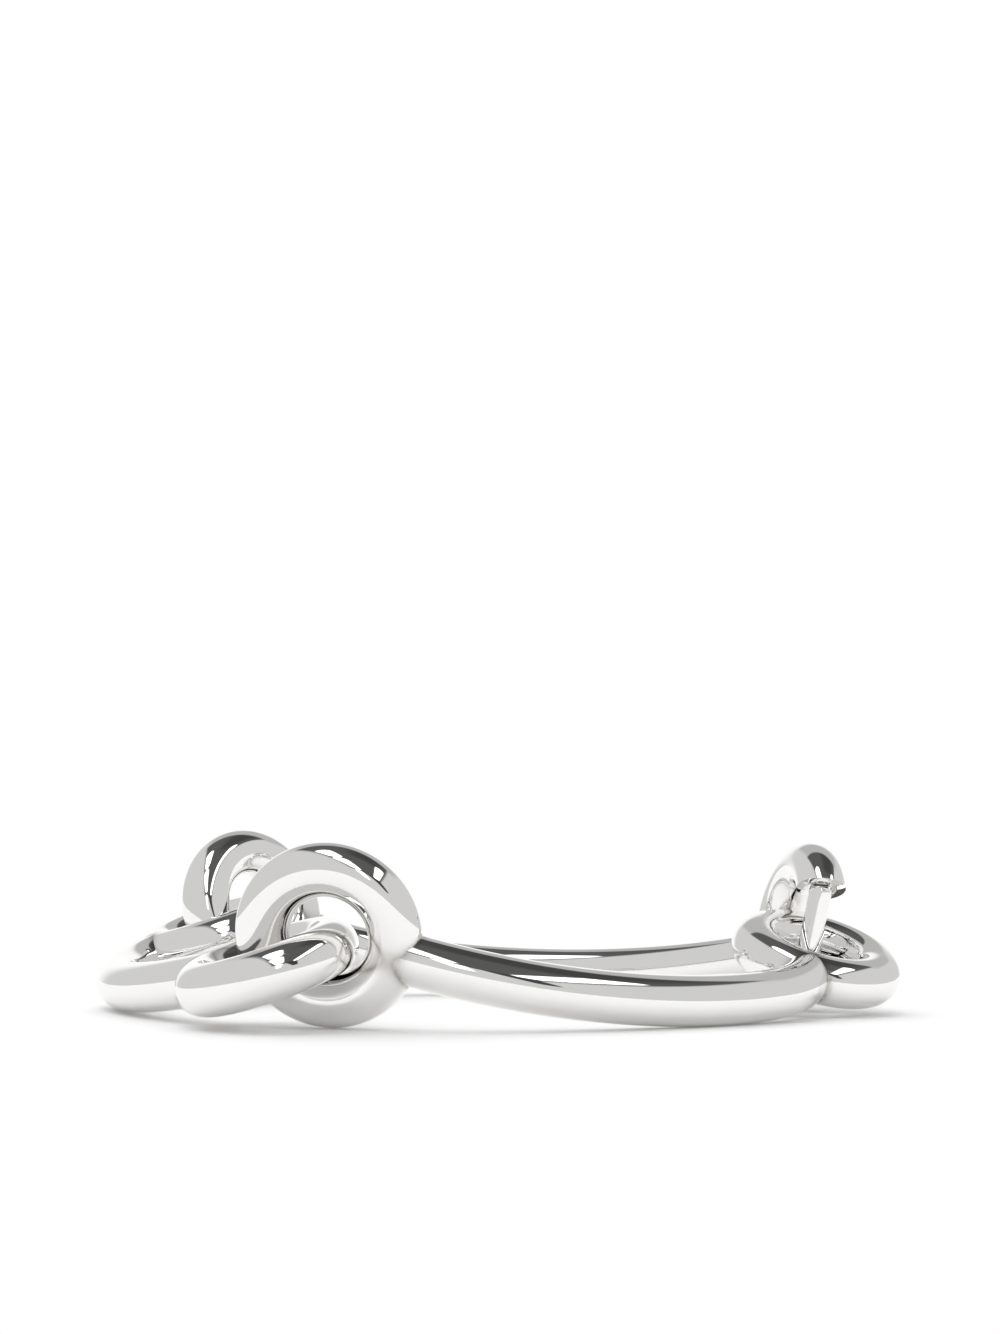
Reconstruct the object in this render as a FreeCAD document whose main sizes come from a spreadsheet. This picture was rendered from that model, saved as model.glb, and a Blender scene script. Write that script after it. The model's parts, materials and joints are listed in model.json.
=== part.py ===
"""Closed linked-ring bracelet in round silver rod.

Three rigid pieces are linked into a loop. Each piece is two plain rings joined by a
bent round bar whose ends are coped to the ring tubes and soldered.

  front piece   front_eye_ring + front_bar + catch_ring
  back piece    back_eye_ring + back_bar + clasp_ring, with the sprung gate
  end piece     end_front_ring + end_bar + end_back_ring

The origin is at the middle of the footprint, on the surface the bracelet lies on.
X runs along the front, Y from front to back, Z up. Lengths are in millimetres and
angles in degrees.
"""
import FreeCAD, Part
import os
import Sketcher

doc = FreeCAD.newDocument("linked_ring_bracelet")
sheet = doc.addObject("Spreadsheet::Sheet", "sizes")
next_row = 1


def size(name, content):
    """Write one named cell: a plain number or a formula, in text."""
    global next_row
    sheet.set("A%d" % next_row, name)
    sheet.set("B%d" % next_row, content)
    sheet.setAlias("B%d" % next_row, name)
    next_row += 1


# ---------------------------------------------------------------- driving sizes
size("tube_diameter", "4.5")       # rod that the rings are bent from
size("hole_ratio", "1.5")          # ring hole over tube: the play of a linked tube
size("bar_ratio", "0.98")          # bar rod over tube, so the cope stays inside the ring
size("loop_width", "53.65")        # back link to catch link, along X
size("loop_depth", "36.45")        # front link to back link, along Y
size("gate_diameter", "2.1")       # rod that closes the clasp ring
size("gate_clearance", "0.12")     # each side of the gate in its fork
size("pin_diameter", "0.8")        # hinge pin of the gate
size("pin_clearance", "0.04")      # radial, gate bore round the pin
size("recess_diameter", "3.0")     # bore in the cut end that takes the gate's tip
size("recess_depth", "1.4")
size("tip_depth", "0.7")           # how far the gate's tip stands in the recess
size("upper_cut_angle", "162.4")   # polar angles round the clasp ring, bar at 0
size("lower_cut_angle", "247.4")
size("cut_tilt", "15")             # cut faces turned from radial
size("saw_stock", "14")            # turn of rod past each cut, before it is sawn off
size("pivot_depth", "1.0")         # gate pivot below the lower cut face
size("spring_thickness", "0.14")
size("spring_width", "1.4")
size("spring_gap", "0.03")         # gate to its leaf spring, closed

# ---------------------------------------------------------------- ring sizes
size("tube_radius", "=tube_diameter / 2")
size("ring_radius", "=tube_diameter * (hole_ratio + 1) / 2")
size("bar_radius", "=bar_ratio * tube_radius")

# Places of the three links in plan, as shares of the loop, and the step from one
# ring's centre to its neighbour's there, in ring radii. The last two numbers are
# the heights of both rings over the surface, in ring radii.
LINKS = {
    "front": (-0.3105, -0.5709, 0.912, -0.131, 1.379, 0.9135),
    "catch": (0.5272, 0.1808, -0.184, 0.905, 1.384, 0.888),
    "back": (-0.4728, 0.4291, 0.570, 0.640, 1.5125, 1.1105),
}
for link, (share_x, share_y, step_x, step_y, height_one, height_two) in LINKS.items():
    size(link + "_step_x", "=%s * ring_radius" % step_x)
    size(link + "_step_y", "=%s * ring_radius" % step_y)
    for number, side, height in ((1, 0.5, height_one), (2, -0.5, height_two)):
        ring = "%s_ring_%s" % (link, "one" if number == 1 else "two")
        size(ring + "_x", "=%s * loop_width + %s * %s_step_x" % (share_x, side, link))
        size(ring + "_y", "=%s * loop_depth + %s * %s_step_y" % (share_y, side, link))
        size(ring + "_z", "=%s * ring_radius" % height)

# Each piece: first ring, last ring, roll of its bar's plane about the chord, the
# headings at which the bar leaves and arrives, the share of the turn in each end
# bend, and the middle bend's radius over the chord.
PIECES = {
    "front": ("front_ring_one", "catch_ring_two", 21.4, -38.7, 48.1, 0.344, 0.8365),
    "back": ("back_ring_one", "catch_ring_one", -24.5, 51.6, -66.6, 0.329, 0.858),
    "end": ("front_ring_two", "back_ring_two", -19.3, 39.6, -69.7, 0.364, 0.400),
}
BENDS = ("first", "middle", "last")


def size_piece(piece, start, finish, roll, leave, arrive, end_share, middle_share):
    """Work out a piece's placement and its bar's three tangent bends in the sheet."""
    name = piece + "_"
    for axis in "xyz":
        size(name + "chord_" + axis, "=%s_%s - %s_%s" % (finish, axis, start, axis))
    size(name + "plan", "=sqrt({0}chord_x ^ 2 + {0}chord_y ^ 2)".format(name))
    size(name + "chord", "=sqrt({0}plan ^ 2 + {0}chord_z ^ 2)".format(name))
    size(name + "yaw", "=atan2({0}chord_y; {0}chord_x) / 1deg".format(name))
    size(name + "pitch", "=-asin({0}chord_z / {0}chord) / 1deg".format(name))
    size(name + "roll", "%s" % roll)
    size(name + "leave", "%s" % leave)
    size(name + "arrive", "%s" % arrive)
    turn = 1 if arrive > leave else -1
    size(name + "heading_one", "={0}leave + {1} * ({0}arrive - {0}leave)".format(name, end_share))
    size(name + "heading_two", "={0}arrive - {1} * ({0}arrive - {0}leave)".format(name, end_share))
    headings = [name + each for each in ("leave", "heading_one", "heading_two", "arrive")]
    for bend, heading_in, heading_out in zip(BENDS, headings, headings[1:]):
        size(name + bend + "_run_x", "=sin(%s) - sin(%s)" % (heading_out, heading_in))
        size(name + bend + "_run_y", "=cos(%s) - cos(%s)" % (heading_in, heading_out))
    # the middle bend's radius is chosen, and the two end bends close the path
    size(name + "middle_radius", "=%d * %s * %schord" % (turn, middle_share, name))
    size(name + "gap_x", ("={0}chord - ring_radius * (cos({0}arrive) + cos({0}leave))"
                          " - {0}middle_radius * {0}middle_run_x").format(name))
    size(name + "gap_y", ("=0 - ring_radius * (sin({0}arrive) + sin({0}leave))"
                          " - {0}middle_radius * {0}middle_run_y").format(name))
    size(name + "cross", ("={0}first_run_x * {0}last_run_y"
                          " - {0}first_run_y * {0}last_run_x").format(name))
    size(name + "first_radius", ("=({0}gap_x * {0}last_run_y - {0}gap_y * {0}last_run_x)"
                                 " / {0}cross").format(name))
    size(name + "last_radius", ("=({0}first_run_x * {0}gap_y - {0}first_run_y * {0}gap_x)"
                                " / {0}cross").format(name))
    # each bend starts where the one before it ends, with the same heading
    point = ("ring_radius * cos(%sleave)" % name, "ring_radius * sin(%sleave)" % name)
    for bend, heading_in, heading_out in zip(BENDS, headings, headings[1:]):
        label = name + bend
        size(label + "_centre_x", "=%s - %s_radius * sin(%s)" % (point[0], label, heading_in))
        size(label + "_centre_y", "=%s + %s_radius * cos(%s)" % (point[1], label, heading_in))
        size(label + "_end_x", "={0}_centre_x + {0}_radius * sin({1})".format(label, heading_out))
        size(label + "_end_y", "={0}_centre_y - {0}_radius * cos({1})".format(label, heading_out))
        size(label + "_sweep", "=abs(%s - %s)" % (heading_out, heading_in))
        size(label + "_from", "=min(%s; %s) - %d" % (heading_in, heading_out, 90 * turn))
        point = (label + "_end_x", label + "_end_y")


for piece, numbers in PIECES.items():
    size_piece(piece, *numbers)

# ---------------------------------------------------------------- clasp sizes
# In the clasp ring's own plane: X towards the bar, Y up across the bar's plane.
for end in ("upper", "lower"):
    size(end + "_x", "=ring_radius * cos(%s_cut_angle)" % end)
    size(end + "_y", "=ring_radius * sin(%s_cut_angle)" % end)
size("gate_angle", "=atan2(upper_y - lower_y; upper_x - lower_x) / 1deg")
size("gate_span", "=sqrt((upper_x - lower_x) ^ 2 + (upper_y - lower_y) ^ 2)")
size("pivot_x", "=lower_x - pivot_depth * cos(gate_angle)")
size("pivot_y", "=lower_y - pivot_depth * sin(gate_angle)")
size("gate_radius", "=gate_diameter / 2")
size("gate_length", "=pivot_depth + gate_span + tip_depth - gate_radius")
size("fork_width", "=gate_diameter + 2 * gate_clearance")
size("fork_depth", "=pivot_depth + gate_radius + 2 * gate_clearance")
size("spring_slot", "=1.5 * gate_radius + spring_gap + spring_thickness")
size("pin_length", "=2 * sqrt(tube_radius ^ 2 - (0.7 * pivot_depth + pin_diameter / 2) ^ 2) - 0.1")
doc.recompute()


def bind(target, **formulas):
    """Tie properties of one object to expressions on the sheet."""
    for prop, formula in formulas.items():
        target.setExpression(prop, formula)
    return target


def piece_frame(piece):
    """Expression of a piece's frame: origin at its first ring, X along the chord."""
    ring = PIECES[piece][0]
    at = "vector(sizes.{0}_x; sizes.{0}_y; sizes.{0}_z)".format(ring)
    turned = "rotation(sizes.{0}_yaw; sizes.{0}_pitch; sizes.{0}_roll)".format(piece)
    return "placement(%s; %s)" % (at, turned)


def ring_frame(piece, first, upright):
    """Expression of a ring's frame: X towards the bar, Z along the ring's axis."""
    tilt = 90 if upright else 0
    if first:
        step = "placement(vector(0; 0; 0); rotation(sizes.%s_leave; 0; %d))" % (piece, tilt)
    else:
        step = ("placement(vector(sizes.{0}_chord; 0; 0);"
                " rotation(sizes.{0}_arrive + 180; 0; {1}))").format(piece, tilt)
    return piece_frame(piece) + " * " + step


def ring(name, piece, first, upright):
    """A plain ring: the rod closed on itself."""
    torus = doc.addObject("Part::Torus", name)
    return bind(torus, Radius1="sizes.ring_radius", Radius2="sizes.tube_radius",
                Placement=ring_frame(piece, first, upright))


def bar(name, piece, rings):
    """A round bar in three tangent bends, coped to the rings at both ends."""
    bends = []
    for bend in BENDS:
        label = "%s_%s" % (piece, bend)
        arc = doc.addObject("Part::Torus", label + "_bend")
        at = "vector(sizes.{0}_centre_x; sizes.{0}_centre_y; 0)".format(label)
        turned = "rotation(sizes.%s_from; 0; 0)" % label
        bind(arc, Radius1="abs(sizes.%s_radius)" % label, Radius2="sizes.bar_radius",
             Angle3="sizes.%s_sweep" % label,
             Placement="%s * placement(%s; %s)" % (piece_frame(piece), at, turned))
        bends.append(arc)
    rod = doc.addObject("Part::MultiFuse", piece + "_rod")
    rod.Shapes = bends
    for number, tool in enumerate(rings):
        cope = doc.addObject("Part::Cut", name if number else piece + "_first_cope")
        cope.Base = rod
        cope.Tool = tool
        rod = cope
    return rod


def box(name, frame, x, y, z, length, width, height):
    """A box in a frame, from its low corner; all sizes are expressions."""
    block = doc.addObject("Part::Box", name)
    place = "%s * placement(vector(%s; %s; %s); rotation(0; 0; 0))" % (frame, x, y, z)
    return bind(block, Length=length, Width=width, Height=height, Placement=place)


def cut(name, base, tools):
    """Take several tools out of one base."""
    joined = doc.addObject("Part::MultiFuse", name + "_tools")
    joined.Shapes = tools
    result = doc.addObject("Part::Cut", name)
    result.Base = base
    result.Tool = joined
    return result


def step(frame, x, y, turn):
    """A frame stepped and turned within the XY plane of another frame."""
    return "%s * placement(vector(%s; %s; 0); rotation(%s; 0; 0))" % (frame, x, y, turn)


CLASP_FRAME = ring_frame("back", False, True)
UPPER_FRAME = step(CLASP_FRAME, "sizes.upper_x", "sizes.upper_y",
                   "sizes.upper_cut_angle + sizes.cut_tilt")
LOWER_FRAME = step(CLASP_FRAME, "sizes.lower_x", "sizes.lower_y",
                   "sizes.lower_cut_angle - sizes.cut_tilt")
GATE_FRAME = step(CLASP_FRAME, "sizes.pivot_x", "sizes.pivot_y", "sizes.gate_angle - 90")


def clasp_blank():
    """The clasp ring before sawing: bent short of a full turn, open for the gate."""
    blank = doc.addObject("Part::Torus", "clasp_blank")
    return bind(blank, Radius1="sizes.ring_radius", Radius2="sizes.tube_radius",
                Angle3="360 - (sizes.lower_cut_angle - sizes.upper_cut_angle) + 2 * sizes.saw_stock",
                Placement=step(CLASP_FRAME, "0", "0", "sizes.lower_cut_angle - sizes.saw_stock"))


def clasp_ring(blank):
    """The clasp ring: sawn to its two cut faces, with the recess and the fork."""
    inside = "-0.55 * sizes.ring_radius"
    reach = "2 * sizes.ring_radius"
    stock = "0.8 * sizes.tube_diameter"
    upper_saw = box("upper_saw", UPPER_FRAME, inside, "0", "-sizes.tube_diameter",
                    reach, stock, "2 * sizes.tube_diameter")
    lower_saw = box("lower_saw", LOWER_FRAME, inside, "-" + stock, "-sizes.tube_diameter",
                    reach, stock, "2 * sizes.tube_diameter")
    # the recess that takes the gate's tip, bored square to the upper face
    bore = doc.addObject("Part::Cylinder", "recess_bore")
    bind(bore, Radius="sizes.recess_diameter / 2", Height="sizes.recess_depth + 1",
         Placement=UPPER_FRAME + " * placement(vector(0; 1; 0); rotation(0; 0; 90))")
    # and opened towards the middle of the ring, so the gate can swing in
    mouth = box("recess_mouth", UPPER_FRAME, "-sizes.tube_diameter", "-sizes.recess_depth",
                "-sizes.recess_diameter / 2", "sizes.tube_diameter", "sizes.recess_depth + 1",
                "sizes.recess_diameter")
    # the fork that holds the gate's foot, its leaf spring and the pin
    fork = box("gate_fork", GATE_FRAME, "sizes.spring_slot - 2 * sizes.tube_diameter",
               "sizes.pivot_depth - sizes.fork_depth", "-sizes.fork_width / 2",
               "2 * sizes.tube_diameter", "sizes.fork_depth + sizes.tube_diameter / 2",
               "sizes.fork_width")
    pin_bore = doc.addObject("Part::Cylinder", "pin_bore")
    bind(pin_bore, Radius="sizes.pin_diameter / 2", Height="2 * sizes.tube_diameter",
         Placement=GATE_FRAME + " * placement(vector(0; 0; -sizes.tube_diameter);"
         " rotation(0; 0; 0))")
    sawn = cut("sawn_ring", blank, [upper_saw, lower_saw])
    return cut("clasp_ring", sawn, [bore, mouth, fork, pin_bore])


def origin_plane(body, role):
    """One of a body's own origin planes or axes, by its role."""
    return next(each for each in body.Origin.OriginFeatures if each.Role == role)


def gate():
    """The gate: a straight rod with domed ends, bored for its pin at the foot."""
    body = doc.addObject("PartDesign::Body", "gate")
    profile = body.newObject("Sketcher::SketchObject", "gate_profile")
    profile.AttachmentSupport = [(origin_plane(body, "XY_Plane"), "")]
    profile.MapMode = "FlatFace"
    radius = sheet.gate_radius
    length = sheet.gate_length
    at = FreeCAD.Vector
    side = profile.addGeometry(Part.LineSegment(at(radius, 0, 0), at(radius, length, 0)))
    tip = profile.addGeometry(Part.Arc(at(radius, length, 0), at(radius * 0.7, length + radius * 0.7, 0),
                                       at(0, length + radius, 0)))
    middle = profile.addGeometry(Part.LineSegment(at(0, length + radius, 0), at(0, -radius, 0)))
    foot = profile.addGeometry(Part.Arc(at(0, -radius, 0), at(radius * 0.7, -radius * 0.7, 0),
                                        at(radius, 0, 0)))
    for rule in (("Coincident", side, 2, tip, 1), ("Coincident", tip, 2, middle, 1),
                 ("Coincident", middle, 2, foot, 1), ("Coincident", foot, 2, side, 1),
                 ("PointOnObject", tip, 3, -2), ("Coincident", foot, 3, -1, 1),
                 ("PointOnObject", middle, 1, -2), ("PointOnObject", middle, 2, -2),
                 ("Vertical", side)):
        profile.addConstraint(Sketcher.Constraint(*rule))
    for label, rule in (("foot_radius", ("Radius", foot, radius)),
                        ("tip_radius", ("Radius", tip, radius)),
                        ("rod_length", ("DistanceY", side, 1, side, 2, length))):
        number = profile.addConstraint(Sketcher.Constraint(*rule))
        profile.renameConstraint(number, label)
    bind(profile, **{"Constraints.foot_radius": "sizes.gate_radius",
                     "Constraints.tip_radius": "sizes.gate_radius",
                     "Constraints.rod_length": "sizes.gate_length"})
    rod = body.newObject("PartDesign::Revolution", "gate_rod")
    rod.Profile = profile
    rod.ReferenceAxis = (profile, ["V_Axis"])
    rod.Angle = 360
    doc.recompute()
    circle = body.newObject("Sketcher::SketchObject", "gate_bore_circle")
    circle.AttachmentSupport = [(origin_plane(body, "XY_Plane"), "")]
    circle.MapMode = "FlatFace"
    eye = circle.addGeometry(Part.Circle(at(0, 0, 0), at(0, 0, 1), sheet.pin_diameter / 2))
    circle.addConstraint(Sketcher.Constraint("Coincident", eye, 3, -1, 1))
    number = circle.addConstraint(Sketcher.Constraint("Radius", eye, sheet.pin_diameter / 2))
    circle.renameConstraint(number, "bore_radius")
    bind(circle, **{"Constraints.bore_radius": "sizes.pin_diameter / 2 + sizes.pin_clearance"})
    bore = body.newObject("PartDesign::Pocket", "gate_bore")
    bore.Profile = circle
    bore.Type = "ThroughAll"
    bore.Midplane = True
    bind(body, Placement=GATE_FRAME)
    doc.recompute()
    if bore.Shape.Volume >= rod.Shape.Volume:
        raise RuntimeError("the gate's bore cuts nothing")
    return body


def gate_pin():
    """The hinge pin, across both cheeks of the fork."""
    pin = doc.addObject("Part::Cylinder", "gate_pin")
    return bind(pin, Radius="sizes.pin_diameter / 2", Height="sizes.pin_length",
                Placement=GATE_FRAME + " * placement(vector(0; 0; -sizes.pin_length / 2);"
                " rotation(0; 0; 0))")


def gate_spring():
    """The leaf spring, standing in the fork on the gate's inner side."""
    return box("gate_spring", GATE_FRAME, "sizes.gate_radius + sizes.spring_gap",
               "sizes.pivot_depth - sizes.fork_depth", "-sizes.spring_width / 2",
               "sizes.spring_thickness", "sizes.fork_depth + sizes.gate_radius / 2",
               "sizes.spring_width")


# ---------------------------------------------------------------- the pieces
front_eye_ring = ring("front_eye_ring", "front", True, True)
catch_ring = ring("catch_ring", "front", False, False)
back_eye_ring = ring("back_eye_ring", "back", True, True)
bent_clasp = clasp_blank()
end_front_ring = ring("end_front_ring", "end", True, False)
end_back_ring = ring("end_back_ring", "end", False, False)

nodes = [
    front_eye_ring,
    bar("front_bar", "front", (front_eye_ring, catch_ring)),
    catch_ring,
    back_eye_ring,
    bar("back_bar", "back", (back_eye_ring, bent_clasp)),
    clasp_ring(bent_clasp),
    gate(),
    gate_pin(),
    gate_spring(),
    end_front_ring,
    bar("end_bar", "end", (end_front_ring, end_back_ring)),
    end_back_ring,
]
doc.recompute()

# ---------------------------------------------------------------- checks and files
for item in doc.Objects:
    if "Invalid" in item.State or "Error" in item.State:
        raise RuntimeError("%s did not compute: %s" % (item.Name, item.State))
os.makedirs("parts", exist_ok=True)
for item in nodes:
    item.Label = item.Name
    if item.Shape.isNull() or not item.Shape.isValid() or len(item.Shape.Solids) != 1:
        raise RuntimeError("%s is not one sound solid" % item.Label)
for item in nodes:
    item.Shape.exportStep("parts/%s.step" % item.Label)
    low = item.Shape.BoundBox
    print("%-16s %8.2f mm3  z %6.2f to %6.2f" % (item.Label, item.Shape.Volume, low.ZMin, low.ZMax))
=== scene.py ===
"""Looks for a closed linked-ring bracelet in mirror-polished silver rod.

Three soldered pieces, each a bent bar with a ring at both ends, are linked into a
loop that lies on a pale floor. One of the rings is a clasp closed by a thin gate.
Lengths are in metres and angles in degrees unless a name says otherwise.
"""

import json
import logging
import math
from collections.abc import Callable
from dataclasses import dataclass
from enum import Enum

import bmesh
import bpy
from mathutils import Matrix, Vector


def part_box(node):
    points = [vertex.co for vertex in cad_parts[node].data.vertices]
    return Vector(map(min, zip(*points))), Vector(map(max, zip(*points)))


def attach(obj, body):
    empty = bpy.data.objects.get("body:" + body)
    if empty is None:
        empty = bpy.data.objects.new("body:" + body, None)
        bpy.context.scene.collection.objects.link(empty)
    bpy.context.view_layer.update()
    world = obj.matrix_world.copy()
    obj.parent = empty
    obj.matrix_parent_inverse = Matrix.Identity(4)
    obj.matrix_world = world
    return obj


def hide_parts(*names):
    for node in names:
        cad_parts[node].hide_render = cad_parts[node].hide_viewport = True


LOG = logging.getLogger("bracelet")
MM = 0.001
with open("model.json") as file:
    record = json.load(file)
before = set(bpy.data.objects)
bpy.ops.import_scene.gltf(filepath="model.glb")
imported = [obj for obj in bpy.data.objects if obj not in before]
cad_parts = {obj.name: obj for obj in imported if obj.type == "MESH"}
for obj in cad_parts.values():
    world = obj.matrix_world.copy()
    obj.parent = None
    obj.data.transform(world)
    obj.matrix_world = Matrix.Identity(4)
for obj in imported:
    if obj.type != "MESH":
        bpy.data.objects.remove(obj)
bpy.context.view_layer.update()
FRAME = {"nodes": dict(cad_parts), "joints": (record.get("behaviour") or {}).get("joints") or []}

# Facets of the round parts.
RING_STEPS = 208
SECTION_STEPS = 80
CLASP_STEPS = 190
BORE_STEPS = 32
BEND_STEP = 0.35 * MM
FEWEST_BEND_STEPS = 12

# Past this angle an edge is left sharp: plain rod, and rod with cut faces.
PLAIN_EDGE = 35.0
CUT_EDGE = 30.0

# Run in the background, the spin tool turned the wrong way about an upward axis.
SPIN_AXIS = (0, 0, -1)


# ------------------------------------------------------------------ mesh helpers
def deselect_all() -> None:
    """Leave edit mode and drop every selection."""
    if bpy.context.object is not None and bpy.context.object.mode != "OBJECT":
        bpy.ops.object.mode_set(mode="OBJECT")
    bpy.ops.object.select_all(action="DESELECT")


def make_active(piece: bpy.types.Object) -> None:
    """Select one object alone and make it the active one."""
    deselect_all()
    piece.select_set(True)
    bpy.context.view_layer.objects.active = piece


def settle(piece: bpy.types.Object, place: Matrix) -> None:
    """Put a piece at its place and bake that place into its mesh.

    Args:
        piece: The object, modelled about the world origin.
        place: Where it goes, in the bracelet's frame.
    """
    make_active(piece)
    piece.matrix_world = place
    bpy.ops.object.transform_apply(location=True, rotation=True, scale=True)


def shade(piece: bpy.types.Object, sharp: float = PLAIN_EDGE) -> None:
    """Shade a piece smooth, with edges over an angle kept sharp."""
    make_active(piece)
    bpy.ops.object.shade_smooth_by_angle(angle=math.radians(sharp))


def apply_modifiers(piece: bpy.types.Object) -> None:
    """Apply all of a piece's modifiers in order."""
    make_active(piece)
    for modifier in list(piece.modifiers):
        bpy.ops.object.modifier_apply(modifier=modifier.name)


def close_and_face_out(piece: bpy.types.Object) -> None:
    """Merge doubled points and turn every face outwards."""
    make_active(piece)
    bpy.ops.object.mode_set(mode="EDIT")
    bpy.ops.mesh.select_all(action="SELECT")
    bpy.ops.mesh.remove_doubles(threshold=1e-7)
    bpy.ops.mesh.normals_make_consistent(inside=False)
    bpy.ops.object.mode_set(mode="OBJECT")


def subtract(piece: bpy.types.Object, tools: list[bpy.types.Object]) -> None:
    """Cut tools out of a piece and throw the tools away.

    Args:
        piece: The object that is cut.
        tools: Closed objects to take out of it.
    """
    for tool in tools:
        cutter = piece.modifiers.new(tool.name, "BOOLEAN")
        cutter.operation = "DIFFERENCE"
        cutter.solver = "EXACT"
        cutter.object = tool
    apply_modifiers(piece)
    for tool in tools:
        bpy.data.objects.remove(tool)


def block(name: str, place: Matrix, low: Vector, high: Vector) -> bpy.types.Object:
    """Make a box between two corners of a local frame.

    Args:
        name: The object's name.
        place: The local frame.
        low: Its low corner.
        high: Its high corner.

    Returns:
        The box, with its place in its mesh.
    """
    deselect_all()
    bpy.ops.mesh.primitive_cube_add(size=1.0)
    piece = bpy.context.object
    piece.name = name
    middle = Matrix.Translation((low + high) / 2)
    settle(piece, place @ middle @ Matrix.Diagonal((*(high - low), 1.0)))
    return piece


def rod(name: str, place: Matrix, radius: float, length: float, sides: int = 64) -> bpy.types.Object:
    """Make a cylinder along a local frame's Z axis, from its origin.

    Args:
        name: The object's name.
        place: The local frame.
        radius: Radius of the rod.
        length: Length along Z.
        sides: Number of flats round it.

    Returns:
        The cylinder, with its place in its mesh.
    """
    deselect_all()
    bpy.ops.mesh.primitive_cylinder_add(vertices=sides, radius=radius, depth=length,
                                        location=(0, 0, length / 2))
    piece = bpy.context.object
    piece.name = name
    bpy.ops.object.transform_apply(location=True, rotation=True, scale=True)
    settle(piece, place)
    return piece


def turned(axis: str, degrees: float) -> Matrix:
    """A turn about one axis, as a 4x4 matrix."""
    return Matrix.Rotation(math.radians(degrees), 4, axis)


# ------------------------------------------------------------------ finishes
def group_nodes(name: str, inputs: dict[str, float], outputs: dict[str, str]) -> bpy.types.ShaderNodeTree:
    """Make an empty shader group with float inputs and named outputs.

    Args:
        name: The group's name.
        inputs: Input names and their default values.
        outputs: Output names and their socket types.

    Returns:
        The group's tree, holding its two end nodes.
    """
    tree = bpy.data.node_groups.new(name, "ShaderNodeTree")
    for label, value in inputs.items():
        socket = tree.interface.new_socket(label, in_out="INPUT", socket_type="NodeSocketFloat")
        socket.default_value = value
    for label, kind in outputs.items():
        tree.interface.new_socket(label, in_out="OUTPUT", socket_type=kind)
    tree.nodes.new("NodeGroupInput")
    tree.nodes.new("NodeGroupOutput")
    return tree


def add(tree: bpy.types.NodeTree, kind: str, **values) -> bpy.types.Node:
    """Add a node and set its properties."""
    node = tree.nodes.new(kind)
    for key, value in values.items():
        setattr(node, key, value)
    return node


def maths(tree: bpy.types.NodeTree, operation: str, *terms) -> bpy.types.NodeSocket:
    """Add one Math node.

    Args:
        tree: The tree it goes in.
        operation: The node's operation.
        terms: Its inputs, each a socket or a number.

    Returns:
        The node's output socket.
    """
    node = add(tree, "ShaderNodeMath", operation=operation)
    for number, term in enumerate(terms):
        if isinstance(term, bpy.types.NodeSocket):
            tree.links.new(term, node.inputs[number])
        else:
            node.inputs[number].default_value = term
    return node.outputs[0]


def noise(tree: bpy.types.NodeTree, place: bpy.types.NodeSocket, scale: float,
          detail: float, stretch: tuple[float, float, float] = (1, 1, 1),
          turn: tuple[float, float, float] = (0, 0, 0)) -> bpy.types.NodeSocket:
    """Add a noise texture on object coordinates.

    Args:
        tree: The tree it goes in.
        place: The coordinate socket.
        scale: Waves per metre.
        detail: Octaves of detail.
        stretch: Scale along each axis.
        turn: Turn of the pattern, in degrees.

    Returns:
        The noise value's socket.
    """
    mapping = add(tree, "ShaderNodeMapping")
    mapping.inputs["Scale"].default_value = stretch
    mapping.inputs["Rotation"].default_value = [math.radians(each) for each in turn]
    tree.links.new(place, mapping.inputs["Vector"])
    texture = add(tree, "ShaderNodeTexNoise")
    texture.inputs["Scale"].default_value = scale
    texture.inputs["Detail"].default_value = detail
    tree.links.new(mapping.outputs[0], texture.inputs["Vector"])
    return texture.outputs[0]


def banded(tree: bpy.types.NodeTree, value: bpy.types.NodeSocket, low: float,
           high: float) -> bpy.types.NodeSocket:
    """Map a value between two limits to 0 to 1, clamped and eased."""
    node = add(tree, "ShaderNodeMapRange", interpolation_type="SMOOTHSTEP")
    node.inputs["From Min"].default_value = low
    node.inputs["From Max"].default_value = high
    tree.links.new(value, node.inputs["Value"])
    return node.outputs["Result"]


def scratch_group() -> bpy.types.ShaderNodeTree:
    """Fine polishing lines and stray handling scratches.

    Returns:
        A group with inputs Lines and Scratches, and outputs Height and Mask.
    """
    tree = group_nodes("handling_scratches", {"Lines": 0.3, "Scratches": 1.0},
                       {"Height": "NodeSocketFloat", "Mask": "NodeSocketFloat"})
    ends = {node.bl_idname: node for node in tree.nodes}
    given, out = ends["NodeGroupInput"], ends["NodeGroupOutput"]
    place = add(tree, "ShaderNodeTexCoord").outputs["Object"]
    fine = noise(tree, place, 900, 3, (1, 14, 3), (20, 35, 10))
    height = maths(tree, "MULTIPLY", fine, given.outputs["Lines"])
    mask = None
    for turn, stretch in (((10, 25, 40), (1, 60, 60)), ((60, -15, 120), (60, 1, 60)),
                          ((-35, 70, 15), (60, 60, 1))):
        streak = noise(tree, place, 55, 1, stretch, turn)
        line = banded(tree, streak, 0.665, 0.69)
        patch = banded(tree, noise(tree, place, 260, 1, (1, 1, 1), turn), 0.5, 0.62)
        line = maths(tree, "MULTIPLY", line, patch)
        mask = line if mask is None else maths(tree, "MAXIMUM", mask, line)
    mask = maths(tree, "MULTIPLY", mask, given.outputs["Scratches"])
    tree.links.new(mask, out.inputs["Mask"])
    tree.links.new(maths(tree, "SUBTRACT", height, mask), out.inputs["Height"])
    return tree


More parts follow.
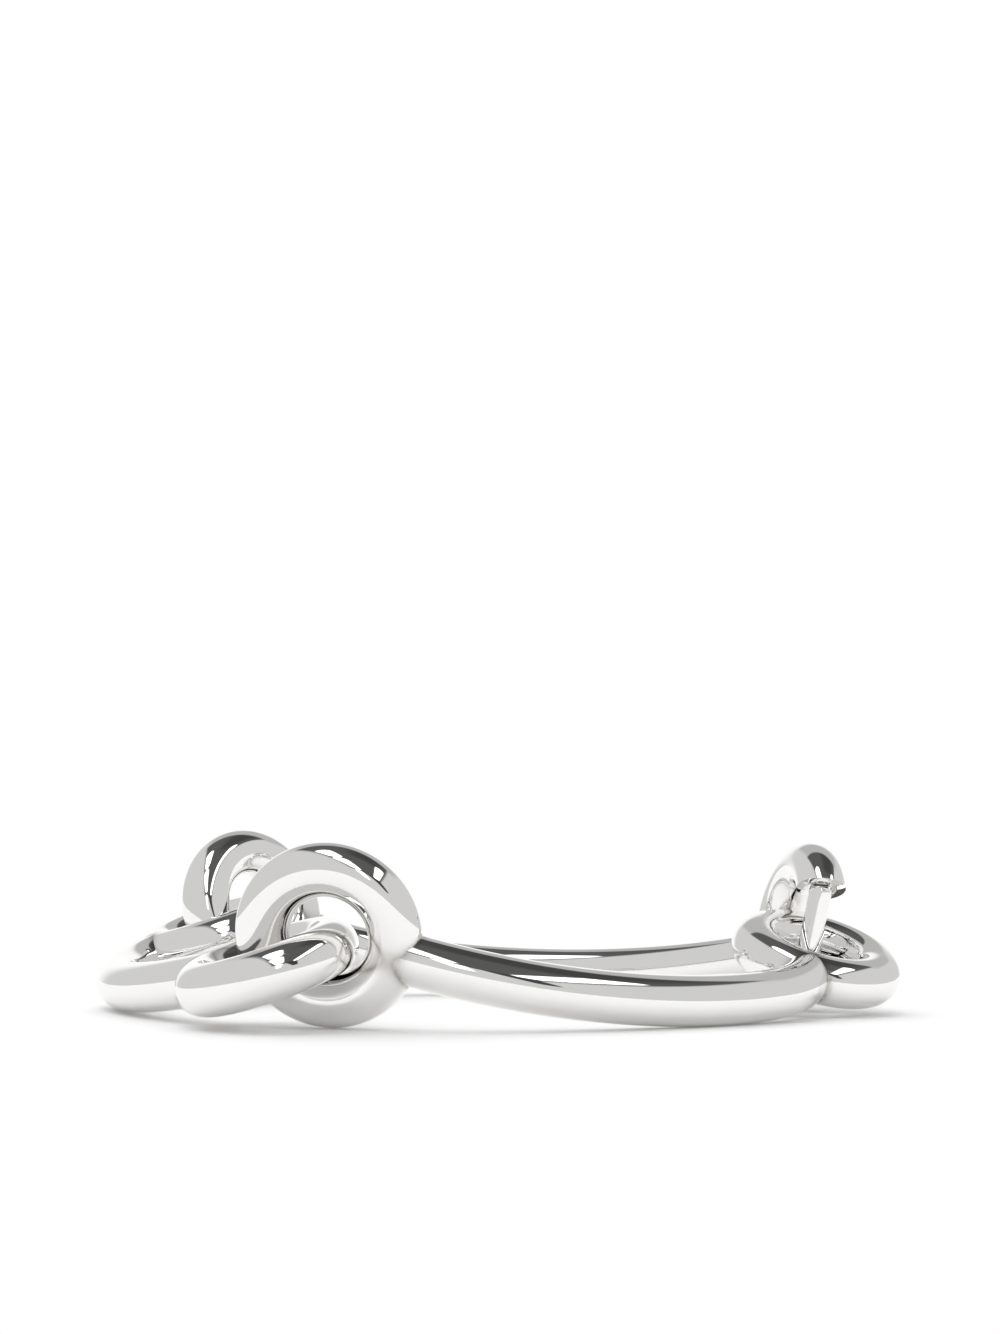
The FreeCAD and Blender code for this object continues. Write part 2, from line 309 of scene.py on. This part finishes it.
def smudge_and_shade_group() -> bpy.types.ShaderNodeTree:
    """The thin film of fingers on polished silver, and painted shade along its creases.

    Returns:
        A group with the input Crease, and outputs Smudge and the painted crease shade.
    """
    tree = group_nodes("smudge_and_crease_shade", {"Crease": 0.0},
                       {"Smudge": "NodeSocketFloat", "Crease_shade": "NodeSocketFloat"})
    ends = {node.bl_idname: node for node in tree.nodes}
    given, out = ends["NodeGroupInput"], ends["NodeGroupOutput"]
    place = add(tree, "ShaderNodeTexCoord").outputs["Object"]
    broad = banded(tree, noise(tree, place, 130, 4), 0.42, 0.75)
    whorl = banded(tree, noise(tree, place, 420, 2, (1, 1, 2.5)), 0.4, 0.8)
    tree.links.new(maths(tree, "MULTIPLY", broad, whorl), out.inputs["Smudge"])
    # Painted shade: the crease value, broken up by fine noise, darkens the silver along the soldered
    # joints.
    breakup = maths(tree, "MULTIPLY_ADD", noise(tree, place, 900, 3), 0.9, 0.35)
    painted_shade = maths(tree, "MULTIPLY", given.outputs["Crease"], breakup)
    tree.links.new(maths(tree, "MINIMUM", painted_shade, 1.0), out.inputs["Crease_shade"])
    return tree


class Film(Enum):
    """How much film a surface keeps."""
    HANDLED = 0.05
    SHELTERED = 0.10


@dataclass(frozen=True)
class Silver:
    """Solid silver, buffed to a mirror, with painted shade in its creases."""
    name: str
    colour: tuple[float, float, float] = (0.905, 0.898, 0.885)
    # Dark colour of the painted shade laid in the creases.
    crease_shade: tuple[float, float, float] = (0.30, 0.27, 0.23)
    roughness: float = 0.035
    film: Film = Film.HANDLED
    lines: float = 0.3
    scratches: float = 1.0
    relief: float = 0.012
    relief_depth: float = 0.02 * MM
    # Extra roughness where the painted crease shade lies.
    crease_shade_roughness: float = 0.22
    scratch_roughness: float = 0.06

    def material(self) -> bpy.types.Material:
        """Build the material.

        Returns:
            A material that reads the mesh attribute "crease".
        """
        material = bpy.data.materials.new(self.name)
        material.use_nodes = True
        tree = material.node_tree
        shader = tree.nodes["Principled BSDF"]
        shader.inputs["Metallic"].default_value = 1.0
        crease = add(tree, "ShaderNodeAttribute", attribute_name="crease")
        film = add(tree, "ShaderNodeGroup", node_tree=GROUPS["film"])
        tree.links.new(crease.outputs["Fac"], film.inputs["Crease"])
        scratch = add(tree, "ShaderNodeGroup", node_tree=GROUPS["scratches"])
        scratch.inputs["Lines"].default_value = self.lines
        scratch.inputs["Scratches"].default_value = self.scratches
        # Mix the painted crease shade's dark colour over the silver.
        mix = add(tree, "ShaderNodeMix", data_type="RGBA")
        mix.inputs["A"].default_value = (*self.colour, 1)
        mix.inputs["B"].default_value = (*self.crease_shade, 1)
        tree.links.new(film.outputs["Crease_shade"], mix.inputs["Factor"])
        tree.links.new(mix.outputs["Result"], shader.inputs["Base Color"])
        rough = maths(tree, "MULTIPLY_ADD", film.outputs["Smudge"], self.film.value, self.roughness)
        rough = maths(tree, "MULTIPLY_ADD", film.outputs["Crease_shade"], self.crease_shade_roughness, rough)
        rough = maths(tree, "MULTIPLY_ADD", scratch.outputs["Mask"], self.scratch_roughness, rough)
        tree.links.new(rough, shader.inputs["Roughness"])
        bump = add(tree, "ShaderNodeBump")
        bump.inputs["Strength"].default_value = self.relief
        bump.inputs["Distance"].default_value = self.relief_depth
        tree.links.new(scratch.outputs["Height"], bump.inputs["Height"])
        tree.links.new(bump.outputs["Normal"], shader.inputs["Normal"])
        return material


GROUPS = {"scratches": scratch_group(), "film": smudge_and_shade_group()}


def dress(piece: bpy.types.Object, material: bpy.types.Material) -> None:
    """Give a piece one material."""
    piece.data.materials.clear()
    piece.data.materials.append(material)


def paint_crease(piece: bpy.types.Object, depth: Callable[[Vector], float]) -> None:
    """Write the crease attribute, 1 in a crease and 0 away from it.

    Args:
        piece: The mesh object.
        depth: A function from a point to its crease value.
    """
    # The silver materials darken by this value: painted shade in the creases.
    layer = piece.data.attributes.new("crease", "FLOAT", "POINT")
    layer.data.foreach_set("value", [depth(vertex.co) for vertex in piece.data.vertices])


# ------------------------------------------------------------------ linked pieces
@dataclass
class Rod:
    """Sizes of the round rod and its rings."""
    tube: float = 2.25 * MM
    ring: float = 5.625 * MM
    bar: float = 2.205 * MM
    # Width of the painted shade along each soldered joint.
    crease_width: float = 0.16 * MM


ROD = Rod()


@dataclass
class Ring:
    """One ring of a piece: a torus about a local Z axis, with its bar along X."""
    node: str
    frame: Matrix

    def gap_to(self, point: Vector) -> float:
        """Distance from a point to the ring's skin, in metres."""
        local = self.frame.inverted() @ point
        out = math.hypot(local.x, local.y) - ROD.ring
        return abs(math.hypot(out, local.z) - ROD.tube)

    def build(self) -> bpy.types.Object:
        """Model the ring as a full torus."""
        deselect_all()
        bpy.ops.mesh.primitive_torus_add(major_segments=RING_STEPS, minor_segments=SECTION_STEPS,
                                         major_radius=ROD.ring, minor_radius=ROD.tube)
        piece = bpy.context.object
        piece.name = self.node + "_polished"
        settle(piece, self.frame)
        shade(piece)
        return piece


@dataclass
class LinkPiece:
    """A rigid piece: a bar in three tangent bends with a ring at each end."""
    body: str
    nodes: tuple[str, str, str]
    first: Vector
    last: Vector
    roll: float
    leave: float
    arrive: float
    end_share: float
    middle_share: float
    upright: tuple[bool, bool]
    silver: Silver

    def __post_init__(self) -> None:
        """Work out the piece's frame and its rings."""
        chord = self.last - self.first
        self.chord = chord.length
        yaw = math.degrees(math.atan2(chord.y, chord.x))
        pitch = -math.degrees(math.asin(chord.z / self.chord))
        self.frame = (Matrix.Translation(self.first) @ turned("Z", yaw)
                      @ turned("Y", pitch) @ turned("X", self.roll))
        places = (turned("Z", self.leave),
                  Matrix.Translation((self.chord, 0, 0)) @ turned("Z", self.arrive + 180))
        stand = [turned("X", 90) if up else Matrix.Identity(4) for up in self.upright]
        self.rings = [Ring(node, self.frame @ place @ tilt)
                      for node, place, tilt in zip(self.nodes[::2], places, stand)]

    def bends(self) -> list[tuple[float, float, float]]:
        """The bar's three bends.

        Returns:
            For each bend its signed radius and the headings in and out, in radians.
        """
        leave, arrive = math.radians(self.leave), math.radians(self.arrive)
        share = self.end_share * (arrive - leave)
        headings = (leave, leave + share, arrive - share, arrive)
        turn = math.copysign(1.0, arrive - leave)
        runs = [Vector((math.sin(b) - math.sin(a), math.cos(a) - math.cos(b)))
                for a, b in zip(headings, headings[1:])]
        middle = turn * self.middle_share * self.chord
        span = Vector((self.chord, 0)) - ROD.ring * Vector(
            (math.cos(arrive) + math.cos(leave), math.sin(arrive) + math.sin(leave)))
        span -= middle * runs[1]
        cross = runs[0].x * runs[2].y - runs[0].y * runs[2].x
        start = (span.x * runs[2].y - span.y * runs[2].x) / cross
        end = (runs[0].x * span.y - runs[0].y * span.x) / cross
        return list(zip((start, middle, end), headings, headings[1:]))

    def build_bar(self) -> bpy.types.Object:
        """Model the bar: its section is spun through each bend in turn."""
        leave = math.radians(self.leave)
        point = ROD.ring * Vector((math.cos(leave), math.sin(leave)))
        deselect_all()
        bpy.ops.mesh.primitive_circle_add(
            vertices=SECTION_STEPS, radius=ROD.bar, fill_type="NGON", location=(point.x, point.y, 0),
            rotation=(math.radians(90), 0, leave + math.radians(90)))
        piece = bpy.context.object
        piece.name = self.nodes[1] + "_polished"
        bpy.ops.object.transform_apply(location=True, rotation=True, scale=True)
        bpy.ops.object.mode_set(mode="EDIT")
        bpy.ops.mesh.select_all(action="SELECT")
        for radius, start, stop in self.bends():
            centre = point + radius * Vector((-math.sin(start), math.cos(start)))
            steps = max(FEWEST_BEND_STEPS, round(abs(radius * (stop - start)) / BEND_STEP))
            bpy.ops.mesh.spin(steps=steps, angle=stop - start, center=(centre.x, centre.y, 0),
                              axis=SPIN_AXIS)
            point = centre + radius * Vector((math.sin(stop), -math.cos(stop)))
        bpy.ops.object.mode_set(mode="OBJECT")
        close_and_face_out(piece)
        settle(piece, self.frame)
        shade(piece)
        return piece

    def crease_at(self, point: Vector, ring: Ring) -> float:
        """How deep a point lies in the soldered crease at one ring.

        Args:
            point: A point of the piece's skin.
            ring: The ring whose joint is measured.

        Returns:
            1 on the joint line, falling to 0 within about a millimetre.
        """
        local = ring.frame.inverted() @ point
        from_bar = abs(math.hypot(local.y, local.z) - ROD.bar) if local.x > 0 else 1.0
        apart = math.hypot(from_bar, ring.gap_to(point))
        return math.exp(-apart / ROD.crease_width)

    def finish(self, piece: bpy.types.Object, node: str) -> None:
        """Paint, dress and attach one mesh of the piece.

        Args:
            piece: The mesh object.
            node: The CAD node that it stands for.
        """
        # The crease value lays painted shade along the soldered joints.
        paint_crease(piece, lambda co: max(self.crease_at(co, ring) for ring in self.rings))
        dress(piece, self.silver.material())
        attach(piece, self.body)
        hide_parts(node)
        LOG.info("%s: %d faces on %s", piece.name, len(piece.data.polygons), self.body)

    def build(self) -> None:
        """Build the bar and each ring except the clasp ring, which the Clasp builds."""
        for ring in self.rings:
            if ring.node != "clasp_ring":
                self.finish(ring.build(), ring.node)
        self.finish(self.build_bar(), self.nodes[1])


# ------------------------------------------------------------------ clasp
@dataclass
class Clasp:
    """The clasp ring and its gate, in the ring's own plane, with the bar along X.

    The saw's reach is in ring radii, its thickness in tube radii, and the fork's side
    in gate radii.
    """
    piece: LinkPiece
    upper_cut: float = 162.4
    lower_cut: float = 247.4
    cut_tilt: float = 15.0
    saw_stock: float = 14.0
    recess_radius: float = 1.5 * MM
    recess_depth: float = 1.4 * MM
    tip_depth: float = 0.7 * MM
    pivot_depth: float = 1.0 * MM
    gate_radius: float = 1.05 * MM
    gate_clearance: float = 0.12 * MM
    pin_radius: float = 0.4 * MM
    pin_clearance: float = 0.04 * MM
    spring_room: float = 0.17 * MM
    saw_reach: tuple[float, float] = (-0.55, 1.45)
    saw_thickness: float = 1.6
    fork_side: float = 1.5

    def __post_init__(self) -> None:
        """Work out the frames of both cuts and of the gate's pivot."""
        self.ring = self.piece.rings[1]
        upper, lower = self.on_ring(self.upper_cut), self.on_ring(self.lower_cut)
        along = upper - lower
        self.gate_angle = math.degrees(math.atan2(along.y, along.x))
        self.gate_span = along.length
        pivot = lower - along.normalized() * self.pivot_depth
        self.upper_frame = self.plane(upper, self.upper_cut + self.cut_tilt)
        self.lower_frame = self.plane(lower, self.lower_cut - self.cut_tilt)
        self.gate_frame = self.plane(pivot, self.gate_angle - 90)

    @staticmethod
    def on_ring(angle: float) -> Vector:
        """A point of the ring's centre line, by its polar angle."""
        turn = math.radians(angle)
        return ROD.ring * Vector((math.cos(turn), math.sin(turn), 0))

    def plane(self, at: Vector, turn: float) -> Matrix:
        """A frame in the ring's plane, stepped to a point and turned."""
        return self.ring.frame @ Matrix.Translation(at) @ turned("Z", turn)

    def build_ring(self) -> None:
        """Model the ring: bend, saw both ends, bore the recess and mill the fork."""
        start = math.radians(self.lower_cut - self.saw_stock)
        sweep = math.radians(360 - self.lower_cut + self.upper_cut + 2 * self.saw_stock)
        deselect_all()
        bpy.ops.mesh.primitive_circle_add(
            vertices=SECTION_STEPS, radius=ROD.tube, fill_type="NGON", location=(ROD.ring, 0, 0),
            rotation=(math.radians(90), 0, 0))
        piece = bpy.context.object
        piece.name = "clasp_ring_polished"
        bpy.ops.object.transform_apply(location=True, rotation=True, scale=True)
        bpy.ops.object.mode_set(mode="EDIT")
        bpy.ops.mesh.select_all(action="SELECT")
        bpy.ops.mesh.spin(steps=CLASP_STEPS, angle=sweep, center=(0, 0, 0), axis=SPIN_AXIS)
        bpy.ops.object.mode_set(mode="OBJECT")
        close_and_face_out(piece)
        settle(piece, self.ring.frame @ Matrix.Rotation(start, 4, "Z"))
        subtract(piece, self.cutters())
        close_and_face_out(piece)
        shade(piece, CUT_EDGE)
        self.piece.finish(piece, "clasp_ring")

    def cutters(self) -> list[bpy.types.Object]:
        """The saw cuts, the recess, its mouth, the fork and the pin's bore."""
        inside, reach = (share * ROD.ring for share in self.saw_reach)
        wide, stock = 2 * ROD.tube, self.saw_thickness * ROD.tube
        fork_half = self.gate_radius + self.gate_clearance
        fork_low = -(self.gate_radius + 2 * self.gate_clearance)
        fork_right = self.fork_side * self.gate_radius + self.spring_room
        bored = self.upper_frame @ Matrix.Translation((0, MM, 0)) @ turned("X", 90)
        return [
            block("upper_saw", self.upper_frame, Vector((inside, 0, -wide)), Vector((reach, stock, wide))),
            block("lower_saw", self.lower_frame, Vector((inside, -stock, -wide)), Vector((reach, 0, wide))),
            rod("recess", bored, self.recess_radius, self.recess_depth + MM),
            block("mouth", self.upper_frame, Vector((-wide, -self.recess_depth, -self.recess_radius)),
                  Vector((0, MM, self.recess_radius))),
            block("fork", self.gate_frame, Vector((-3 * ROD.tube, fork_low, -fork_half)),
                  Vector((fork_right, self.pivot_depth + ROD.tube, fork_half))),
            rod("pin_bore", self.gate_frame @ Matrix.Translation((0, 0, -wide)), self.pin_radius,
                2 * wide, BORE_STEPS),
        ]

    def build_gate(self) -> None:
        """Model the gate: a ball parted at its equator, drawn out to a capsule and bored."""
        length = self.pivot_depth + self.gate_span + self.tip_depth - self.gate_radius
        deselect_all()
        bpy.ops.mesh.primitive_uv_sphere_add(segments=64, ring_count=32, radius=self.gate_radius)
        piece = bpy.context.object
        piece.name = "gate_polished"
        bpy.ops.object.mode_set(mode="EDIT")
        bpy.ops.mesh.select_all(action="DESELECT")
        mesh = bmesh.from_edit_mesh(piece.data)
        equator = [edge for edge in mesh.edges if all(abs(vert.co.z) < 1e-7 for vert in edge.verts)]
        bmesh.ops.split_edges(mesh, edges=equator)
        upper = {vert for face in mesh.faces if face.calc_center_median().z > 0 for vert in face.verts}
        bmesh.ops.translate(mesh, vec=(0, 0, length), verts=list(upper))
        for edge in mesh.edges:
            edge.select_set(edge.is_boundary)
        bmesh.update_edit_mesh(piece.data)
        bpy.ops.mesh.bridge_edge_loops(number_cuts=10)
        bpy.ops.object.mode_set(mode="OBJECT")
        close_and_face_out(piece)
        settle(piece, self.gate_frame @ turned("X", -90))
        through = 2 * MM
        subtract(piece, [rod("eye", self.gate_frame @ Matrix.Translation((0, 0, -through)),
                             self.pin_radius + self.pin_clearance, 2 * through, BORE_STEPS)])
        shade(piece, CUT_EDGE)
        paint_crease(piece, lambda co: 0.0)
        dress(piece, Silver("gate_silver", roughness=0.05, scratches=0.6).material())
        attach(piece, "gate_body")
        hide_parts("gate")
        LOG.info("%s: %d faces", piece.name, len(piece.data.polygons))

    def dress_hidden(self) -> None:
        """Dress the pin and the leaf spring, which keep their CAD meshes."""
        dress(FRAME["nodes"]["gate_pin"],
              Silver("pin_silver", roughness=0.09, film=Film.SHELTERED).material())
        dress(FRAME["nodes"]["gate_spring"],
              Silver("spring_strip", colour=(0.56, 0.55, 0.53), roughness=0.22, lines=2.0,
                     film=Film.SHELTERED).material())


# ------------------------------------------------------------------ studio
def blend_to(tree: bpy.types.NodeTree, under: float | bpy.types.NodeSocket, level: float,
             mask: bpy.types.NodeSocket) -> bpy.types.NodeSocket:
    """Blend one brightness over another.

    Args:
        tree: The tree it goes in.
        under: The brightness so far, a number or a socket.
        level: The brightness laid over it.
        mask: Where it is laid, 0 to 1.

    Returns:
        The blended brightness.
    """
    node = add(tree, "ShaderNodeMix", data_type="FLOAT")
    if isinstance(under, bpy.types.NodeSocket):
        tree.links.new(under, node.inputs["A"])
    else:
        node.inputs["A"].default_value = under
    node.inputs["B"].default_value = level
    tree.links.new(mask, node.inputs["Factor"])
    return node.outputs["Result"]


@dataclass(frozen=True)
class Strip:
    """A straight lamp or seam on the ceiling, from one point to another."""
    start: tuple[float, float]
    stop: tuple[float, float]
    half_width: float
    level: float
    soft: float = 0.02

    def mask(self, tree: bpy.types.NodeTree, right: bpy.types.NodeSocket,
             near: bpy.types.NodeSocket) -> bpy.types.NodeSocket:
        """Where the strip shows, as a 0 to 1 socket."""
        span = Vector(self.stop) - Vector(self.start)
        unit = span.normalized()
        x = maths(tree, "SUBTRACT", right, self.start[0])
        y = maths(tree, "SUBTRACT", near, self.start[1])
        along = maths(tree, "ADD", maths(tree, "MULTIPLY", x, unit.x),
                      maths(tree, "MULTIPLY", y, unit.y))
        over = maths(tree, "MAXIMUM", maths(tree, "SUBTRACT", along, span.length),
                     maths(tree, "MULTIPLY", along, -1.0))
        over = maths(tree, "MAXIMUM", over, 0.0)
        aside = maths(tree, "SUBTRACT", maths(tree, "MULTIPLY", x, unit.y),
                      maths(tree, "MULTIPLY", y, unit.x))
        apart = maths(tree, "SQRT", maths(tree, "ADD", maths(tree, "POWER", over, 2.0),
                                          maths(tree, "MULTIPLY", aside, aside)))
        return banded(tree, apart, self.half_width + self.soft, self.half_width - self.soft)


@dataclass(frozen=True)
class Patch:
    """A four-sided patch of the ceiling, between two slanted sides."""
    left: tuple[float, float]
    right: tuple[float, float]
    far: float
    near: float
    level: float
    soft: float = 0.06

    def mask(self, tree: bpy.types.NodeTree, right: bpy.types.NodeSocket,
             near: bpy.types.NodeSocket) -> bpy.types.NodeSocket:
        """Where the patch shows, as a 0 to 1 socket. A side is (offset, slant)."""
        parts = []
        for (offset, slant), sense in ((self.left, 1.0), (self.right, -1.0)):
            edge = maths(tree, "MULTIPLY_ADD", near, slant, offset)
            inside = maths(tree, "MULTIPLY", maths(tree, "SUBTRACT", right, edge), sense)
            parts.append(banded(tree, inside, -self.soft, self.soft))
        parts.append(banded(tree, near, self.far - self.soft, self.far + self.soft))
        parts.append(banded(tree, near, self.near + self.soft, self.near - self.soft))
        whole = parts[0]
        for part in parts[1:]:
            whole = maths(tree, "MULTIPLY", whole, part)
        return whole


@dataclass
class Studio:
    """A pale floor in a pale tent, with a gap of dark ceiling between two lamps."""
    floor_size: float = 40.0
    floor_tone: tuple[float, float, float, float] = (0.93, 0.93, 0.93, 1)
    floor_glow: float = 0.06
    sky_lamp: float = 1.5
    sky_lamp_spread: float = 75.0
    sky_lamp_from: tuple[float, float, float] = (-0.15, 0.35, 0.9)
    camera_at: tuple[float, float, float] = (-0.1 * MM, -253.16 * MM, 17.43 * MM)
    lens: float = 101.62
    sensor: float = 36.0
    clip: tuple[float, float] = (0.01, 50.0)
    horizon_drop: float = 0.1522
    camera_roll: float = -0.49
    tent: float = 0.67
    backdrop: float = 1.04
    backdrop_turn: tuple[float, float] = (0.80, 0.93)
    backdrop_top: tuple[float, float] = (0.56, 0.44)
    lowest_height: float = 0.02
    patches: tuple[Patch, ...] = (
        Patch(left=(-0.5, 0.1), right=(1.1, 0.0), far=-1.7, near=-0.6, level=0.50, soft=0.15),
        Patch(left=(-0.42, 0.26), right=(0.95, 0.10), far=-0.64, near=1.6, level=0.105),
        Patch(left=(0.15, 0.0), right=(0.70, 0.0), far=-0.60, near=0.10, level=0.06, soft=0.15),
    )
    strips: tuple[Strip, ...] = (
        Strip((0.80, 1.5), (1.9, 2.7), 0.22, 0.06),
        Strip((-0.22, 0.08), (-0.12, 0.40), 0.13, 2.2),
        Strip((-0.04, 0.70), (0.18, 1.25), 0.16, 2.2),
        Strip((0.30, 1.66), (0.55, 2.7), 0.16, 1.8),
        Strip((0.76, 0.10), (0.86, 1.25), 0.12, 2.2),
    )

    def build_floor(self) -> None:
        """Lay the floor."""
        deselect_all()
        bpy.ops.mesh.primitive_plane_add(size=self.floor_size, location=(0, 0, 0))
        floor = bpy.context.object
        floor.name = "floor"
        material = bpy.data.materials.new("floor_paper")
        material.use_nodes = True
        shader = material.node_tree.nodes["Principled BSDF"]
        shader.inputs["Base Color"].default_value = self.floor_tone
        shader.inputs["Roughness"].default_value = 1.0
        shader.inputs["Specular IOR Level"].default_value = 0.0
        shader.inputs["Emission Color"].default_value = (1, 1, 1, 1)
        shader.inputs["Emission Strength"].default_value = self.floor_glow
        dress(floor, material)

    def build_surround(self) -> None:
        """Light the room with a pale tent that has an open, dark patch of ceiling.

        The pattern is laid out on the ceiling: X to the right of the bracelet and Y
        towards the camera, both over the height.
        """
        world = bpy.data.worlds.new("surround")
        bpy.context.scene.world = world
        world.use_nodes = True
        tree = world.node_tree
        tree.nodes.clear()
        split = add(tree, "ShaderNodeSeparateXYZ")
        tree.links.new(add(tree, "ShaderNodeTexCoord").outputs["Generated"], split.inputs[0])
        height = maths(tree, "MAXIMUM", split.outputs["Z"], self.lowest_height)
        right = maths(tree, "DIVIDE", split.outputs["X"], height)
        near = maths(tree, "DIVIDE", maths(tree, "MULTIPLY", split.outputs["Y"], -1.0), height)
        light: float | bpy.types.NodeSocket = self.tent
        for patch in self.patches:
            light = blend_to(tree, light, patch.level, patch.mask(tree, right, near))
        for strip in self.strips:
            light = blend_to(tree, light, strip.level, strip.mask(tree, right, near))
        behind = maths(tree, "MULTIPLY", banded(tree, split.outputs["Y"], *self.backdrop_turn),
                       banded(tree, split.outputs["Z"], *self.backdrop_top))
        light = blend_to(tree, light, self.backdrop, behind)
        background = add(tree, "ShaderNodeBackground")
        tree.links.new(light, background.inputs["Color"])
        tree.links.new(background.outputs[0], add(tree, "ShaderNodeOutputWorld").inputs[0])

    def build_sky_lamp(self) -> None:
        """Light the floor evenly from above and behind, softly, unseen in the silver."""
        data = bpy.data.lights.new("sky_lamp", "SUN")
        data.energy = self.sky_lamp
        data.angle = math.radians(self.sky_lamp_spread)
        lamp = bpy.data.objects.new("sky_lamp", data)
        lamp.rotation_euler = Vector(self.sky_lamp_from).to_track_quat("Z", "Y").to_euler()
        lamp.visible_glossy = False
        bpy.context.scene.collection.objects.link(lamp)

    def build_camera(self) -> None:
        """Set up the camera: level, low, with the horizon dropped by lens shift."""
        data = bpy.data.cameras.new("camera")
        data.sensor_fit = "HORIZONTAL"
        data.sensor_width = self.sensor
        data.lens = self.lens
        data.shift_y = self.horizon_drop
        data.clip_start, data.clip_end = self.clip
        camera = bpy.data.objects.new("camera", data)
        bpy.context.scene.collection.objects.link(camera)
        camera.location = self.camera_at
        camera.rotation_euler = (math.radians(90), math.radians(self.camera_roll), 0)
        bpy.context.scene.camera = camera

    def build(self) -> None:
        """Build the whole studio."""
        self.build_floor()
        self.build_surround()
        self.build_sky_lamp()
        self.build_camera()
        bpy.context.scene.view_settings.view_transform = "Standard"


def ring_centre(node: str) -> Vector:
    """The centre of a full ring, from its CAD box."""
    low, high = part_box(node)
    return (Vector(low) + Vector(high)) / 2


def joint_place(name: str) -> Vector:
    """The point that a joint turns about."""
    return Vector(next(joint["pos_m"] for joint in FRAME["joints"] if joint["name"] == name))


def main() -> None:
    """Build the three pieces, the clasp and the studio."""
    logging.basicConfig(level=logging.INFO)
    front = LinkPiece(
        body="front_piece", nodes=("front_eye_ring", "front_bar", "catch_ring"),
        first=ring_centre("front_eye_ring"), last=ring_centre("catch_ring"),
        roll=21.4, leave=-38.7, arrive=48.1, end_share=0.344, middle_share=0.8365,
        upright=(True, False), silver=Silver("front_silver"))
    back = LinkPiece(
        body="back_piece", nodes=("back_eye_ring", "back_bar", "clasp_ring"),
        first=ring_centre("back_eye_ring"), last=joint_place("back_rock"),
        roll=-24.5, leave=51.6, arrive=-66.6, end_share=0.329, middle_share=0.858,
        upright=(True, True), silver=Silver("back_silver"))
    end = LinkPiece(
        body="end_piece", nodes=("end_front_ring", "end_bar", "end_back_ring"),
        first=ring_centre("end_front_ring"), last=ring_centre("end_back_ring"),
        roll=-19.3, leave=39.6, arrive=-69.7, end_share=0.364, middle_share=0.400,
        upright=(False, False), silver=Silver("end_silver"))
    for piece in (front, back, end):
        piece.build()
    clasp = Clasp(back)
    clasp.build_ring()
    clasp.build_gate()
    clasp.dress_hidden()
    Studio().build()
    deselect_all()


if __name__ == "__main__":
    main()
